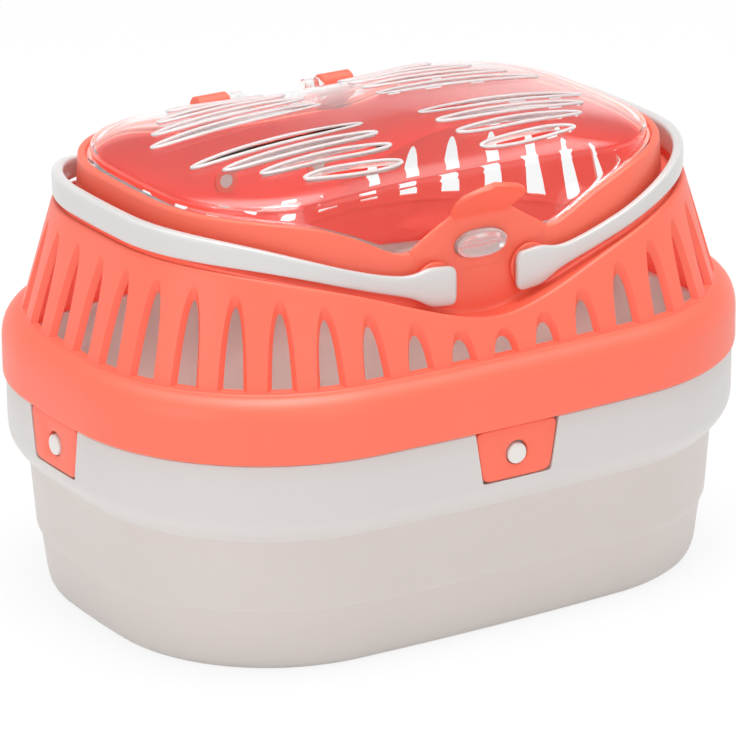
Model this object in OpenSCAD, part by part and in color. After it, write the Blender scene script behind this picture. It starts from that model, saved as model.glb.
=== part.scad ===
// Plastic carrier for small pets: a tub, a slotted cage that clips over it,
// a clear domed lid hinged at the back, and two bail handles that lie round the lid.
// Origin: centre of the footprint, on the surface that the tub stands on.
// X runs along the length, -Y is the front with the lid's latch, Z is up.

/* [Plan] */
// Overall length of the skirt, end to end
length = 300; // [290:1:320]
// Overall width of the skirt, front to back
width = 220; // [214:1:230]
// Radius of the shallow arc along the front and the back
side_arc_r = 1300; // [1100:10:1600]
// Radius of the shallow arc across each end
end_arc_r = 540; // [450:10:650]
// Radius of the four large corners
corner_r = 90; // [84:1:94]

/* [Tub] */
// Wall and floor thickness of the tub
tub_wall = 2.3; // [2:0.1:2.8]
// Height of the recessed foot zone, from the surface to the step
foot_h = 27; // [22:0.5:32]
// Height of the belly, from the step to the underside of the band
belly_h = 43; // [36:0.5:50]
// Height of the proud band, from its underside to the seat of the cage
band_h = 22.5; // [20:0.5:26]
// Inset of the flat floor from the skirt outline
floor_inset = 22; // [21:0.5:24]
// Inset of the foot zone just above the bottom radius
foot_inset = 15.2; // [14.5:0.1:16]
// Inset of the wall just under the step
foot_top_inset = 13.2; // [12.8:0.1:13.8]
// Inset of the belly just above the step
belly_inset = 11.6; // [11:0.1:12.2]
// Inset of the belly under the flare
belly_top_inset = 9.8; // [9.4:0.1:10.2]
// Height over which the belly flares out to the band
flare_h = 16; // [13:0.5:19]
// Inset of the band's outer face
band_inset = 1.3; // [1:0.1:1.6]
// Height of the rim that stands inside the skirt
rim_h = 4; // [3:0.5:6]
// Inset of the rim's outer face
rim_inset = 3.3; // [3.1:0.1:3.6]

/* [Cage] */
// Wall thickness of the cage
cage_wall = 2.5; // [2.2:0.1:2.8]
// Height of the skirt and its rounded shoulder
skirt_h = 26; // [24:0.5:29]
// Radius of the shoulder's outer edge
shoulder_r = 8.2; // [7:0.1:8.6]
// Inset of the slotted wall at the shoulder
wall_inset = 8.5; // [8.3:0.1:9.5]
// How far the slotted wall leans in for each millimetre of height
wall_lean = 0.297; // [0.27:0.005:0.3]
// Height of the slotted wall at the two ends
wall_end_h = 48.7; // [47:0.5:50]
// How far its top edge dips at the front and the back
wall_dip = 33; // [30:0.5:35]
// Width scale of that dip
dip_w = 72.4; // [66:0.2:78]
// Steepness of that dip
dip_power = 1.77; // [1.6:0.01:2]
// Depth of the gutter between the wall's top edge and the collar
gutter_d = 2.2; // [1.5:0.1:2.6]

/* [Slots] */
// Slots in each quarter of the wall, past the middle one
slots_quarter = 10; // [8:1:11]
// Width of a slot's foot on the outer face
slot_w = 12; // [9:0.5:12.5]
// Width of a slot's foot on the inner face
slot_inner_w = 8; // [6:0.5:8.5]
// Distance of the groove's tip below the wall's top edge
slot_tip_drop = 4.5; // [3.5:0.5:6]
// Further drop to the tip of the open slot
slot_open_drop = 7; // [5:0.5:8]
// Height of the sill between the shoulder and the slots
slot_sill = 0.8; // [0.5:0.1:1.5]

/* [Collar] */
// Inset of the collar's outer face at its foot, at the front and the back
collar_inset = 27.4; // [27.2:0.1:28]
// Further inset of the collar at the two ends
collar_tuck = 6.1; // [5:0.1:7]
// How far the collar's face leans in, foot to lip
collar_lean = 1; // [0.6:0.1:1.4]
// Height of the collar's lip above the shoulder at the front and the back
collar_h = 42.8; // [42:0.2:46]
// Further rise of the lip at the two ends
collar_rise = 20.5; // [18:0.5:22]
// Rise of the lip along the back, between the two ends
back_rise = 12; // [8:0.5:12]
// Half width of the level stretch of the lip
collar_flat = 36; // [35:0.5:40]
// Length scale of the rise
collar_rise_w = 28; // [26:0.5:34]
// Width of the lip's flat top
lip_w = 2.2; // [1.8:0.1:2.6]
// Width of the ledge that the lid rests on
ledge_w = 4; // [3.5:0.1:4.5]
// Depth of that ledge below the lip
ledge_d = 2.2; // [1.8:0.1:2.8]

/* [Handles] */
// Inset of the handles' outer face
handle_inset = 22.3; // [22:0.1:22.8]
// Thickness of the handle band along its arms
handle_t = 3.2; // [3:0.1:3.4]
// Extra thickness of the band at the grip
grip_extra = 2.2; // [1.6:0.1:2.6]
// Height of the band at the grip, in the middle of each end
grip_h = 11.4; // [9:0.2:13]
// Height of the arms halfway along
arm_h = 8; // [7:0.2:9]
// Distance of each pivot from the middle
pivot_x = 22.4; // [21.8:0.2:24]
// Height of the pivots above the shoulder
pivot_h = 29.2; // [28:0.2:30]
// Radius of the round end of an arm
arm_end_r = 8; // [7:0.2:8.4]
// Radius of the pivot pins
pin_r = 3; // [2.5:0.1:3.4]
// Radius of the round bosses behind the arm ends
boss_r = 9; // [8.6:0.1:9.4]

/* [Lid] */
// Wall thickness of the lid
lid_wall = 2; // [1.6:0.1:2.4]
// Height of the crease round the dome above the level stretch of the lip
crease_h = 24.4; // [24:0.2:25.4]
// Rise of the dome from its crease to its middle
dome_rise = 9.5; // [7:0.5:12]
// Inset of the crease from the collar's foot at the two ends
crease_in = 6.5; // [6.2:0.1:7]
// Further inset of the crease in the middle of the front and the back
crease_front = 11.3; // [9:0.1:12]
// Width scale of that further inset
crease_w = 70; // [60:1:76]
// Width of the open part of a lid slot
vent_w = 5; // [4:0.2:5.6]
// Radius of the hinge pins
hinge_pin_r = 2.5; // [2.2:0.1:2.8]
// Radius of the hinge lugs
lug_r = 5; // [4.8:0.1:5.6]
// Width of each hinge lug
lug_w = 15; // [12:0.5:15.5]
// Distance of each hinge lug from the middle
lug_x = 30; // [30:0.5:32]
// Inset of the hinge axis from the back
hinge_inset = 33.5; // [33:0.1:34.5]
// Height of the hinge axis above the level stretch of the lip
hinge_h = 20.5; // [20:0.1:21.5]

/* [Latch] */
// Thickness of the latch flap
flap_t = 2.4; // [2:0.1:2.6]
// Half width of the flap where it meets the lip
flap_half_w = 32; // [30:0.5:34]
// Half width of the flap's root, between the pivots
root_half_w = 12.6; // [12.4:0.1:12.8]
// Height of the flap's root above the shoulder
root_h = 31.8; // [31:0.2:32.4]
// Height of the flap's straight part above its root
flap_h = 23.9; // [22:0.1:25]
// Length of the thumb lip
thumb_l = 20.5; // [16:0.5:22]
// Half width of the thumb lip
thumb_half_w = 16.5; // [14:0.5:17]
// Lean of the thumb lip from upright, in degrees
thumb_lean = 38; // [30:1:42]
// Length of the lid's oval button
button_l = 24; // [20:0.5:24.4]
// Height of the lid's oval button
button_h = 11.8; // [9:0.2:12]

/* [Side clips] */
// Height of each clip tab
tab_h = 21.8; // [20:0.2:23]
// Half width of a tab at its root
tab_half_w = 19.3; // [17:0.1:20]
// Half width of a tab at its tip
tab_tip_half_w = 15.8; // [14:0.1:16.5]
// Thickness of a tab
tab_t = 2.4; // [2:0.1:2.6]
// Inset of a tab's outer face
tab_inset = 1.8; // [1.6:0.1:2]
// Radius of the peg that a tab snaps over
peg_r = 4.3; // [3.5:0.1:4.6]
// Drop of the peg's middle below the seat
peg_drop = 11.9; // [11:0.1:13]

/* [Fits] */
// Gap between parts that move past each other
gap = 0.35; // [0.3:0.05:0.4]
// Radial clearance of a pin in its bore
pin_clearance = 0.06; // [0.04:0.01:0.08]

/* [Hidden] */
coral = [1, 0.45, 0.38];
deep_coral = [0.96, 0.40, 0.33];
milky = [0.86, 0.84, 0.82];
white = [0.93, 0.92, 0.90];
clear = [0.85, 0.90, 0.92, 0.4];
$fn = 48;

// Heights worked out from the sizes above
step_z = foot_h;
ledge_z = step_z + belly_h;
seat_z = ledge_z + band_h;
skirt_z = seat_z + gap;
shoulder_z = skirt_z + skirt_h;
lip_z = shoulder_z + collar_h;
pivot_z = shoulder_z + pivot_h;
root_z = shoulder_z + root_h;
crease_z = lip_z + crease_h;
back_lip_z = lip_z + back_rise;
hinge_y = width / 2 - hinge_inset;
hinge_z = lip_z + hinge_h;
peg_z = seat_z - peg_drop;
button_z = lip_z - 0.9;
wing_z = lip_z - 2.9;
tongue_half_w = button_l / 2 + 1.5;
tongue_z = button_z - button_h / 2 - 1.2;

// Outline of the skirt: eight arcs that meet without a corner
half_l = length / 2;
half_w = width / 2;
side_cy = half_w - side_arc_r;
end_cx = half_l - end_arc_r;
to_side = side_arc_r - corner_r;
to_end = end_arc_r - corner_r;
centres = norm([end_cx, side_cy]);
along = (to_side * to_side - to_end * to_end + centres * centres) / (2 * centres);
across = sqrt(to_side * to_side - along * along);
corner_cx = (along * end_cx - across * side_cy) / centres;
corner_cy = side_cy - (along * side_cy + across * end_cx) / centres;
side_a = atan2(corner_cy - side_cy, corner_cx);
end_a = atan2(corner_cy, corner_cx - end_cx);
end_steps = 2;
corner_steps = 10;
side_steps = 7;

function on_end(a) = [end_cx + end_arc_r * cos(a), end_arc_r * sin(a), cos(a), sin(a)];
function on_corner(a) =
    [corner_cx + corner_r * cos(a), corner_cy + corner_r * sin(a), cos(a), sin(a)];
function on_side(a) = [side_arc_r * cos(a), side_cy + side_arc_r * sin(a), cos(a), sin(a)];
quarter = concat(
    [for (i = [0:end_steps - 1]) on_end(end_a * i / end_steps)],
    [for (i = [0:corner_steps - 1]) on_corner(end_a + (side_a - end_a) * i / corner_steps)],
    [for (i = [0:side_steps - 1]) on_side(side_a + (90 - side_a) * i / side_steps)]
);
n_q = len(quarter);
n = 4 * n_q;
top_point = [0, half_w, 0, 1];
end_point = quarter[0];
// Each entry holds a point of the outline and the direction that points out of it there
base = concat(
    quarter,
    [top_point],
    [for (i = [1:n_q - 1]) let (p = quarter[n_q - i]) [-p[0], p[1], -p[2], p[3]]],
    [[-end_point[0], 0, -1, 0]],
    [for (i = [1:n_q - 1]) let (p = quarter[i]) [-p[0], -p[1], -p[2], -p[3]]],
    [[0, -half_w, 0, -1]],
    [for (i = [1:n_q - 1]) let (p = quarter[n_q - i]) [p[0], -p[1], p[2], -p[3]]]
);

function inset_point(i, t) = [base[i][0] - t * base[i][2], base[i][1] - t * base[i][3]];
function at(i, t, z) = concat(inset_point(i, t), [z]);
function level(t, z) = [for (i = [0:n - 1]) at(i, t, z)];
// The same, for what follows the collar, which stands further in at the ends
function in_c(i, t, z) = at(i, t + collar_tuck * base[i][2] * base[i][2], z);
// Distance from the middle plane, taken along the line of the handles
function mid_x(i) = abs(inset_point(i, handle_inset)[0]);

function wall_top(x) = shoulder_z + wall_end_h - wall_dip * exp(-pow(x / dip_w, dip_power));
function wall_inset_at(z) = wall_inset + wall_lean * (z - shoulder_z);
function rise_at(x) = 1 - exp(-pow(max(0, x - collar_flat) / collar_rise_w, 1.4));
// Height of the collar's lip at an entry of the outline: low at the front, higher at the back
function lip_top(i) =
    let (r = rise_at(mid_x(i))) lip_z + collar_rise * r + (base[i][1] > 0.01 ? back_rise * (1 - r) : 0);
function near_tab(i) =
    let (d = min(abs(base[i][0]), abs(base[i][1]))) 1 / (1 + pow(d / (tab_half_w + 5), 8));

// Skins a stack of rings, either closed with a cap at each end or joined end to end
module skin(rings, joined = false) {
    m = len(rings);
    last = joined ? m - 1 : m - 2;
    sides = [
        for (k = [0:last], i = [0:n - 1])
            let (a = k * n + i, b = k * n + (i + 1) % n)
            let (c = ((k + 1) % m) * n + (i + 1) % n, d = ((k + 1) % m) * n + i)
            each [[a, d, c], [a, c, b]]
    ];
    caps = joined ? [] : [[for (i = [0:n - 1]) i], [for (i = [0:n - 1]) m * n - 1 - i]];
    polyhedron([for (r = rings, p = r) p], concat(sides, caps), convexity = 10);
}

// Places its children at the middle of one side, facing out: 0 front, 1 right, 2 back, 3 left
module on_face(side) {
    out = side % 2 == 0 ? half_w : half_l;
    rotate([0, 0, 90 * side]) translate([0, -out, 0]) children();
}

module tub_body() {
    skin([
        level(floor_inset, 0),
        level(floor_inset - 3.6, 1),
        level(foot_inset + 0.7, 4.4),
        level(foot_inset, 9),
        level(foot_top_inset, step_z - 1.2),
        level(belly_inset, step_z + 1.2),
        level(belly_top_inset, ledge_z - flare_h),
        level(0.78 * belly_top_inset + 0.22 * band_inset, ledge_z - 0.72 * flare_h),
        level(0.34 * belly_top_inset + 0.66 * band_inset, ledge_z - 0.42 * flare_h),
        level(0.09 * belly_top_inset + 0.91 * band_inset, ledge_z - 0.17 * flare_h),
        level(band_inset, ledge_z + 2.5),
        level(band_inset, seat_z - 0.5),
        level(band_inset + 0.4, seat_z),
        level(rim_inset, seat_z),
        level(rim_inset, seat_z + rim_h - 0.8),
        level(rim_inset + 0.6, seat_z + rim_h),
        [for (i = [0:n - 1]) at(i, rim_inset + tub_wall + 1.6 * near_tab(i), seat_z + rim_h)],
        [for (i = [0:n - 1]) at(i, rim_inset + tub_wall + 1.6 * near_tab(i), ledge_z - 1)],
        level(0.6 * belly_top_inset + 0.4 * band_inset + tub_wall + 1, ledge_z - 0.62 * flare_h),
        level(belly_top_inset + tub_wall, ledge_z - flare_h - 1),
        level(belly_inset + tub_wall, step_z + 1.6),
        level(foot_top_inset + tub_wall, step_z - 1.6),
        level(foot_inset + tub_wall, 10),
        level(foot_inset + tub_wall + 1.4, 4.6),
        level(floor_inset + 0.6, tub_wall)
    ]);
}

// Hollow in the band that a tab lies in
module tab_pocket() {
    top = tab_half_w + gap;
    tip = tab_tip_half_w + gap;
    depth = tab_inset + tab_t + gap;
    translate([0, depth, 0])
        rotate([90, 0, 0])
            linear_extrude(depth + 2)
                polygon([
                    [-tip, seat_z - tab_h - 0.5],
                    [tip, seat_z - tab_h - 0.5],
                    [tip + 0.3, seat_z - tab_h + 2],
                    [top, seat_z],
                    [top, seat_z + rim_h + 1],
                    [-top, seat_z + rim_h + 1],
                    [-top, seat_z],
                    [-tip - 0.3, seat_z - tab_h + 2]
                ]);
}

module tub() {
    color(milky)
        difference() {
            tub_body();
            for (side = [0:3]) on_face(side) tab_pocket();
        }
}

module side_pegs() {
    face = tab_inset + tab_t + gap;
    color(milky)
        for (side = [0:3])
            on_face(side)
                translate([0, face, peg_z])
                    rotate([90, 0, 0]) {
                        cylinder(r = peg_r, h = face - 1.6);
                        translate([0, 0, face - 1.6]) cylinder(r1 = peg_r, r2 = peg_r - 0.8, h = 0.8);
                    }
}

module cage_body() {
    thick = cage_wall / cos(atan(wall_lean));
    shoulder_in = wall_inset - 0.4;
    skin([
        level(cage_wall, skirt_z),
        level(0.4, skirt_z),
        level(0, skirt_z + 0.5),
        level(0, shoulder_z - shoulder_r - 1.5),
        level(0.09 * shoulder_r, shoulder_z - 0.66 * shoulder_r),
        level(0.32 * shoulder_r, shoulder_z - 0.3 * shoulder_r),
        level(0.62 * shoulder_r, shoulder_z - 0.1 * shoulder_r),
        level(shoulder_in, shoulder_z),
        level(wall_inset + 0.12, shoulder_z + 0.5),
        [for (i = [0:n - 1]) let (z = wall_top(mid_x(i)) - 1.6) at(i, wall_inset_at(z), z)],
        [for (i = [0:n - 1]) let (z = wall_top(mid_x(i)) - 0.4) at(i, wall_inset_at(z) + 0.3, z)],
        [for (i = [0:n - 1]) let (z = wall_top(mid_x(i))) at(i, wall_inset_at(z) + 1.2, z)],
        [for (i = [0:n - 1]) let (z = wall_top(mid_x(i))) at(i, wall_inset_at(z) + 2.6, z)],
        [for (i = [0:n - 1]) let (z = wall_top(mid_x(i))) at(i, wall_inset_at(z) + 3.1, z - gutter_d)],
        [for (i = [0:n - 1]) in_c(i, collar_inset - 0.8, wall_top(mid_x(i)) - gutter_d + 0.2)],
        [for (i = [0:n - 1]) in_c(i, collar_inset, wall_top(mid_x(i)) - gutter_d + 1)],
        [for (i = [0:n - 1]) in_c(i, collar_inset + collar_lean, lip_top(i) - 1.1)],
        [for (i = [0:n - 1]) in_c(i, collar_inset + collar_lean + 0.3, lip_top(i) - 0.3)],
        [for (i = [0:n - 1]) in_c(i, collar_inset + collar_lean + 1, lip_top(i))],
        [for (i = [0:n - 1]) in_c(i, lip_in, lip_top(i))],
        [for (i = [0:n - 1]) in_c(i, lip_in + 0.2, lip_top(i) - ledge_d)],
        [for (i = [0:n - 1]) in_c(i, ledge_in, lip_top(i) - ledge_d)],
        [for (i = [0:n - 1]) in_c(i, ledge_in, lip_top(i) - ledge_d - 2.2)],
        [for (i = [0:n - 1]) in_c(i, collar_inset + collar_lean + cage_wall, lip_top(i) - ledge_d - 2.6)],
        [for (i = [0:n - 1]) in_c(i, collar_inset + cage_wall, wall_top(mid_x(i)) - gutter_d - cage_wall)],
        [for (i = [0:n - 1])
            let (z = wall_top(mid_x(i)) - gutter_d - cage_wall)
            at(i, wall_inset_at(z) + thick, z - 0.6)],
        level(wall_inset + thick, shoulder_z - 0.2),
        level(0.62 * shoulder_r + cage_wall, shoulder_z - cage_wall - 0.6),
        level(cage_wall + 0.9, shoulder_z - 0.66 * shoulder_r - 1.2),
        level(cage_wall, shoulder_z - shoulder_r - 2.5)
    ], joined = true);
}
lip_in = collar_inset + collar_lean + 1 + lip_w;
ledge_in = lip_in + ledge_w;

// Place on the foot of the slotted wall, s millimetres from the front's middle: x, y, angle
foot_side = (side_arc_r - wall_inset) * (90 - side_a) * PI / 180;
foot_corner = (corner_r - wall_inset) * (side_a - end_a) * PI / 180;
foot_end = (end_arc_r - wall_inset) * end_a * PI / 180;
slot_pitch = (foot_side + foot_corner + foot_end) / (slots_quarter + 0.5);
function foot_angle(s) =
    s < foot_side ? 90 - s / (side_arc_r - wall_inset) * 180 / PI
    : s < foot_side + foot_corner ? side_a - (s - foot_side) / (corner_r - wall_inset) * 180 / PI
    : end_a - (s - foot_side - foot_corner) / (end_arc_r - wall_inset) * 180 / PI;
function foot_entry(s) =
    s < foot_side ? on_side(foot_angle(s))
    : s < foot_side + foot_corner ? on_corner(foot_angle(s))
    : on_end(foot_angle(s));

module slot_outline(half, tip) {
    polygon([
        [-half, 0], [half, 0],
        [0.86 * half, 0.35 * tip], [0.52 * half, 0.72 * tip], [0.08 * half, tip],
        [-0.08 * half, tip], [-0.52 * half, 0.72 * tip], [-0.86 * half, 0.35 * tip]
    ]);
}

// One slot, wide and tall on the outer face and smaller on the inner one
module slot_cutter(k) {
    p = foot_entry(k * slot_pitch);
    x = p[0] - wall_inset * p[2];
    y = p[1] - wall_inset * p[3];
    lean = atan(wall_lean);
    rise = (wall_top(abs(x) * 0.9) - shoulder_z - slot_sill - slot_tip_drop) / cos(lean);
    open_rise = max(0.55 * rise, rise - slot_open_drop);
    translate([x, y, shoulder_z + slot_sill])
        rotate([0, 0, atan2(p[3], p[2]) + 90])
            rotate([-lean, 0, 0])
                hull() {
                    translate([0, -0.9, 0])
                        rotate([90, 0, 0])
                            linear_extrude(0.05) slot_outline(slot_w / 2 + 0.3, rise + 1);
                    translate([0, cage_wall + 0.9, 0.4])
                        rotate([90, 0, 0])
                            linear_extrude(0.05) slot_outline(slot_inner_w / 2 - 0.3, open_rise);
                }
}

module all_slots() {
    for (m = [0, 1])
        mirror([0, m, 0]) {
            slot_cutter(0);
            for (k = [1:slots_quarter], s = [0, 1]) mirror([s, 0, 0]) slot_cutter(k);
        }
}

// Window in the collar for the latch flap and for the lid's tongue behind it
module latch_window() {
    y = -half_w + collar_inset - 2;
    depth = lip_in - collar_inset + 2.2;
    translate([-root_half_w - gap, y, root_z - gap]) cube([2 * (root_half_w + gap), depth, 12]);
    translate([-flap_half_w - gap, y, wing_z - gap]) cube([2 * (flap_half_w + gap), depth, 12]);
    translate([-tongue_half_w - 2 * gap, y, tongue_z - 2 * gap])
        cube([2 * (tongue_half_w + 2 * gap), ledge_in - collar_inset + 3, 30]);
}

module pivot_places() {
    for (sx = [-1, 1], sy = [0, 1])
        mirror([0, sy, 0]) translate([sx * pivot_x, -half_w + collar_inset, pivot_z]) children();
}

module cage() {
    color(coral)
        difference() {
            cage_body();
            all_slots();
            latch_window();
            pivot_places() translate([0, 8, 0]) rotate([90, 0, 0]) cylinder(r = pin_r + 2.6, h = 12);
        }
}

// Flanged bushes that the handle pins turn in
module pivot_bosses() {
    color(coral)
        pivot_places()
            difference() {
                union() {
                    translate([0, -gap / 2, 0]) rotate([90, 0, 0]) cylinder(r = boss_r, h = boss_h);
                    translate([0, 5, 0]) rotate([90, 0, 0]) cylinder(r = pin_r + 2.3, h = 5.3);
                }
                translate([0, 6, 0]) rotate([90, 0, 0]) cylinder(r = pin_r + pin_clearance, h = 12);
            }
}
boss_h = collar_inset - handle_inset - handle_t - 1.5 * gap - 0.35;

// Two upright lugs behind the lid that carry its hinge pins
module hinge_lugs() {
    foot_out = half_w - collar_inset - collar_lean;
    foot_in = foot_out - lip_w - 0.6;
    color(coral)
        for (s = [-1, 1])
            translate([s * lug_x - lug_w / 2, 0, 0])
                rotate([90, 0, 90])
                    linear_extrude(lug_w)
                        difference() {
                            union() {
                                translate([hinge_y, hinge_z]) circle(r = lug_r);
                                polygon([
                                    [foot_in, back_lip_z + 0.3],
                                    [foot_out - 0.4, back_lip_z + 0.3],
                                    [hinge_y + lug_r - 0.2, hinge_z],
                                    [hinge_y, hinge_z],
                                    [hinge_y - 0.8 * lug_r, hinge_z - 3.3]
                                ]);
                            }
                            translate([hinge_y, hinge_z]) circle(r = hinge_pin_r + pin_clearance);
                        }
}

// Lower and upper edge of a handle at rest, x millimetres from the middle
grip_z = wall_top(half_l) + 1.1;
function arm_low(x) = grip_z - 24.5 * exp(-pow(x / 76.6, 2.62));
function arm_height(x) = arm_h + (grip_h - arm_h) / (1 + pow(104 / max(x, 1), 9));
function end_blend(x) = 1 / (1 + pow(max(x - pivot_x, 0) / 8.5, 3.4));
function band_low(x) = arm_low(x) - 4 * end_blend(x);
function band_high(x) = arm_low(x) + arm_height(x) + 1.4 * end_blend(x);

// Section of the handle band at one entry of its path, eight points round
function off(p, t, z) = [p[0] - t * p[2], p[1] - t * p[3], z];
function band_section(p) =
    let (t0 = handle_inset, t1 = t0 + handle_t + grip_extra * p[2] * p[2])
    let (x = abs(p[0] - t0 * p[2]), lo = band_low(x), hi = band_high(x))
    [
        off(p, t0, lo + 1.5), off(p, t0 + 0.8, lo + 0.2), off(p, t1 - 0.7, lo), off(p, t1, lo + 0.8),
        off(p, t1, hi - 0.8), off(p, t1 - 0.8, hi), off(p, t0 + 1.7, hi - 0.1), off(p, t0 + 0.3, hi - 1.8)
    ];
// Outline entries of one arm, from its round end to the middle of the grip
side_at_inset = side_arc_r - handle_inset;
function arm_entry(x) = on_side(acos(x / side_at_inset));
arm_half = concat(
    [for (k = [0:6]) arm_entry(pivot_x + 1 + 3.6 * k)],
    [for (i = [1:n_q]) if (mid_x(n_q - i) > pivot_x + 26) quarter[n_q - i]]
);
arm_path = concat(
    [for (p = arm_half) [-p[0], p[1], -p[2], p[3]]],
    [for (k = [2:len(arm_half)]) let (p = arm_half[len(arm_half) - k]) [-p[0], -p[1], -p[2], -p[3]]]
);

module handle_band() {
    m = len(arm_path);
    pts = [for (e = arm_path, p = band_section(e)) p];
    sides = [
        for (k = [0:m - 2], j = [0:7])
            let (a = k * 8 + j, b = k * 8 + (j + 1) % 8)
            let (c = (k + 1) * 8 + (j + 1) % 8, d = (k + 1) * 8 + j)
            each [[a, c, b], [a, d, c]]
    ];
    polyhedron(pts, concat(sides, [[for (j = [0:7]) j]], [[for (j = [0:7]) m * 8 - 1 - j]]));
}

// One bail handle: band, round ends and pivot pins
module handle() {
    inner = half_w - handle_inset - handle_t;
    union() {
        handle_band();
        for (s = [0, 1])
            mirror([0, s, 0]) translate([-pivot_x, -inner, pivot_z]) rotate([90, 0, 0]) {
                cylinder(r = arm_end_r, h = handle_t);
                translate([0, 0, -pin_reach]) cylinder(r = pin_r, h = pin_reach + 1);
            }
    }
}
pin_reach = 6.5;

module handle_left() {
    color(white) handle();
}

module handle_right() {
    color(white) mirror([1, 0, 0]) handle();
}

// Rings of the lid: its flange, which follows the lip, the crease, and the dome inside it
function crease_t(i) =
    collar_inset + crease_in + crease_front * exp(-pow(mid_x(i) / crease_w, 3));
function flange(t, dz) = [for (i = [0:n - 1]) in_c(i, t, lip_top(i) + dz)];
function crease_ring(extra, drop) =
    [for (i = [0:n - 1]) in_c(i, crease_t(i) + extra, crease_z - drop)];
function dome_ring(f, drop) =
    [for (p = crease_ring(0, 0)) [f * p[0], f * p[1], crease_z + dome_rise * (1 - pow(f, 3)) - drop]];

module lid_shell() {
    skin([
        dome_ring(0.02, lid_wall),
        dome_ring(0.5, lid_wall),
        dome_ring(0.8, lid_wall),
        crease_ring(lid_wall + 0.2, lid_wall + 1.6),
        flange(ledge_in + 0.4, -0.9),
        flange(ledge_in - 0.2, gap - ledge_d),
        flange(lip_in + 0.2 + gap, gap - ledge_d),
        flange(lip_in + 1, -0.1),
        flange(lip_in + 2, 0.4),
        crease_ring(-0.5, 1.6),
        crease_ring(0.4, 0.4),
        dome_ring(0.965, 0),
        dome_ring(0.8, 0),
        dome_ring(0.5, 0),
        dome_ring(0.02, 0)
    ]);
}

// Lid slots: distance of each row from the middle line, and where it starts and ends
vent_rows = [[16, 16, 92], [28.3, 16, 84.5], [41, 16.5, 75], [54, 20, 63]];

module vents() {
    for (r = vent_rows, sx = [-1, 1], sy = [-1, 1])
        hull() {
            translate([sx * (r[1] + vent_w / 2), sy * r[0], lip_z + 10]) cylinder(d = vent_w, h = 40, $fn = 10);
            translate([sx * (r[2] - vent_w / 2), sy * r[0], lip_z + 10]) cylinder(d = vent_w, h = 40, $fn = 10);
        }
}

module oval_button(l, h, depth) {
    r = h / 2;
    rotate([90, 0, 0]) {
        linear_extrude(depth) {
            square([l - h, h], center = true);
            for (s = [-1, 1]) translate([s * (l / 2 - r), 0]) circle(r = r);
        }
    }
}

module lid() {
    color(clear)
        difference() {
            lid_shell();
            vents();
        }
}

// Tongue that hangs from the lid's flange, with the oval button that the flap snaps over
module lid_button() {
    tongue_y = -half_w + collar_inset + collar_lean + flap_t + gap;
    flange_y = -half_w + lip_in + 0.2 + gap;
    flange_z = lip_z + gap - ledge_d;
    color(clear)
        union() {
            translate([-tongue_half_w, tongue_y, tongue_z])
                cube([2 * tongue_half_w, flange_y - tongue_y - 0.05, lip_z - tongue_z + 0.4]);
            translate([-tongue_half_w, tongue_y, tongue_z])
                cube([2 * tongue_half_w, 2.6, flange_z - tongue_z - 0.05]);
            translate([0, tongue_y + 0.5, button_z])
                oval_button(button_l - 2 * gap, button_h - 2 * gap, flap_t + gap + 2);
        }
}

// Outer face of the lid's back slope at height z
function lid_back(z) =
    let (y0 = half_w - lip_in - 2, z0 = back_lip_z + 0.4)
    let (y1 = half_w - collar_inset - crease_in - crease_front + 0.5, z1 = crease_z - 1.6)
    y0 + (y1 - y0) * (z - z0) / (z1 - z0);

// Clear knuckles behind the lid, with the pins that turn in the lugs
module lid_hinge_pins() {
    inner = lug_x - lug_w / 2 - gap;
    knuckle = 7.4;
    knuckle_r = lug_r - 0.9;
    color(clear)
        for (s = [0, 1])
            mirror([s, 0, 0]) {
                translate([inner - knuckle, hinge_y, hinge_z])
                    rotate([0, 90, 0]) cylinder(r = hinge_pin_r, h = knuckle + lug_w + gap);
                translate([inner - knuckle, 0, 0])
                    rotate([90, 0, 90])
                        linear_extrude(knuckle)
                            union() {
                                translate([hinge_y, hinge_z]) circle(r = knuckle_r);
                                polygon([
                                    [lid_back(hinge_z - 3.6) + 0.45, hinge_z - 3.6],
                                    [hinge_y, hinge_z - knuckle_r],
                                    [hinge_y, hinge_z + knuckle_r],
                                    [lid_back(hinge_z + 1.8) + 0.45, hinge_z + 1.8]
                                ]);
                            }
            }
}

// Half width of the latch flap's panel, from the lip (0) up to the thumb lip (1)
function flap_half(u) =
    let (s = min(1, max(0, u)), e = s * s * (3 - 2 * s))
    flap_half_w + (thumb_half_w * 0.81 - flap_half_w) * (0.55 * s + 0.45 * e);

module flap_outline() {
    low = wing_z;
    top = root_z + flap_h;
    steps = 10;
    right = [
        for (k = [0:steps])
            let (u = k / steps) [flap_half(u), lip_z + u * (top - lip_z)]
    ];
    polygon(concat(
        [[-root_half_w, root_z], [root_half_w, root_z], [root_half_w, low], [flap_half_w, low]],
        right,
        [for (k = [0:steps]) [-right[steps - k][0], right[steps - k][1]]],
        [[-flap_half_w, low], [-root_half_w, low]]
    ));
}

module thumb_outline() {
    r = 8;
    base_w = thumb_half_w * 0.81;
    polygon([[-base_w, 0], [base_w, 0], [thumb_half_w, thumb_l - r], [-thumb_half_w, thumb_l - r]]);
    for (s = [-1, 1]) translate([s * (thumb_half_w - r), thumb_l - r]) circle(r = r);
    translate([-thumb_half_w + r, 0]) square([2 * (thumb_half_w - r), thumb_l]);
}

// Flat panel of the latch flap, with the hole for the lid's button
module latch_flap() {
    back = -half_w + collar_inset + collar_lean + flap_t;
    color(deep_coral)
        difference() {
            translate([0, back, 0]) rotate([90, 0, 0]) linear_extrude(flap_t) flap_outline();
            translate([0, back + 1, button_z]) oval_button(button_l, button_h, flap_t + 2);
        }
}

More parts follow.
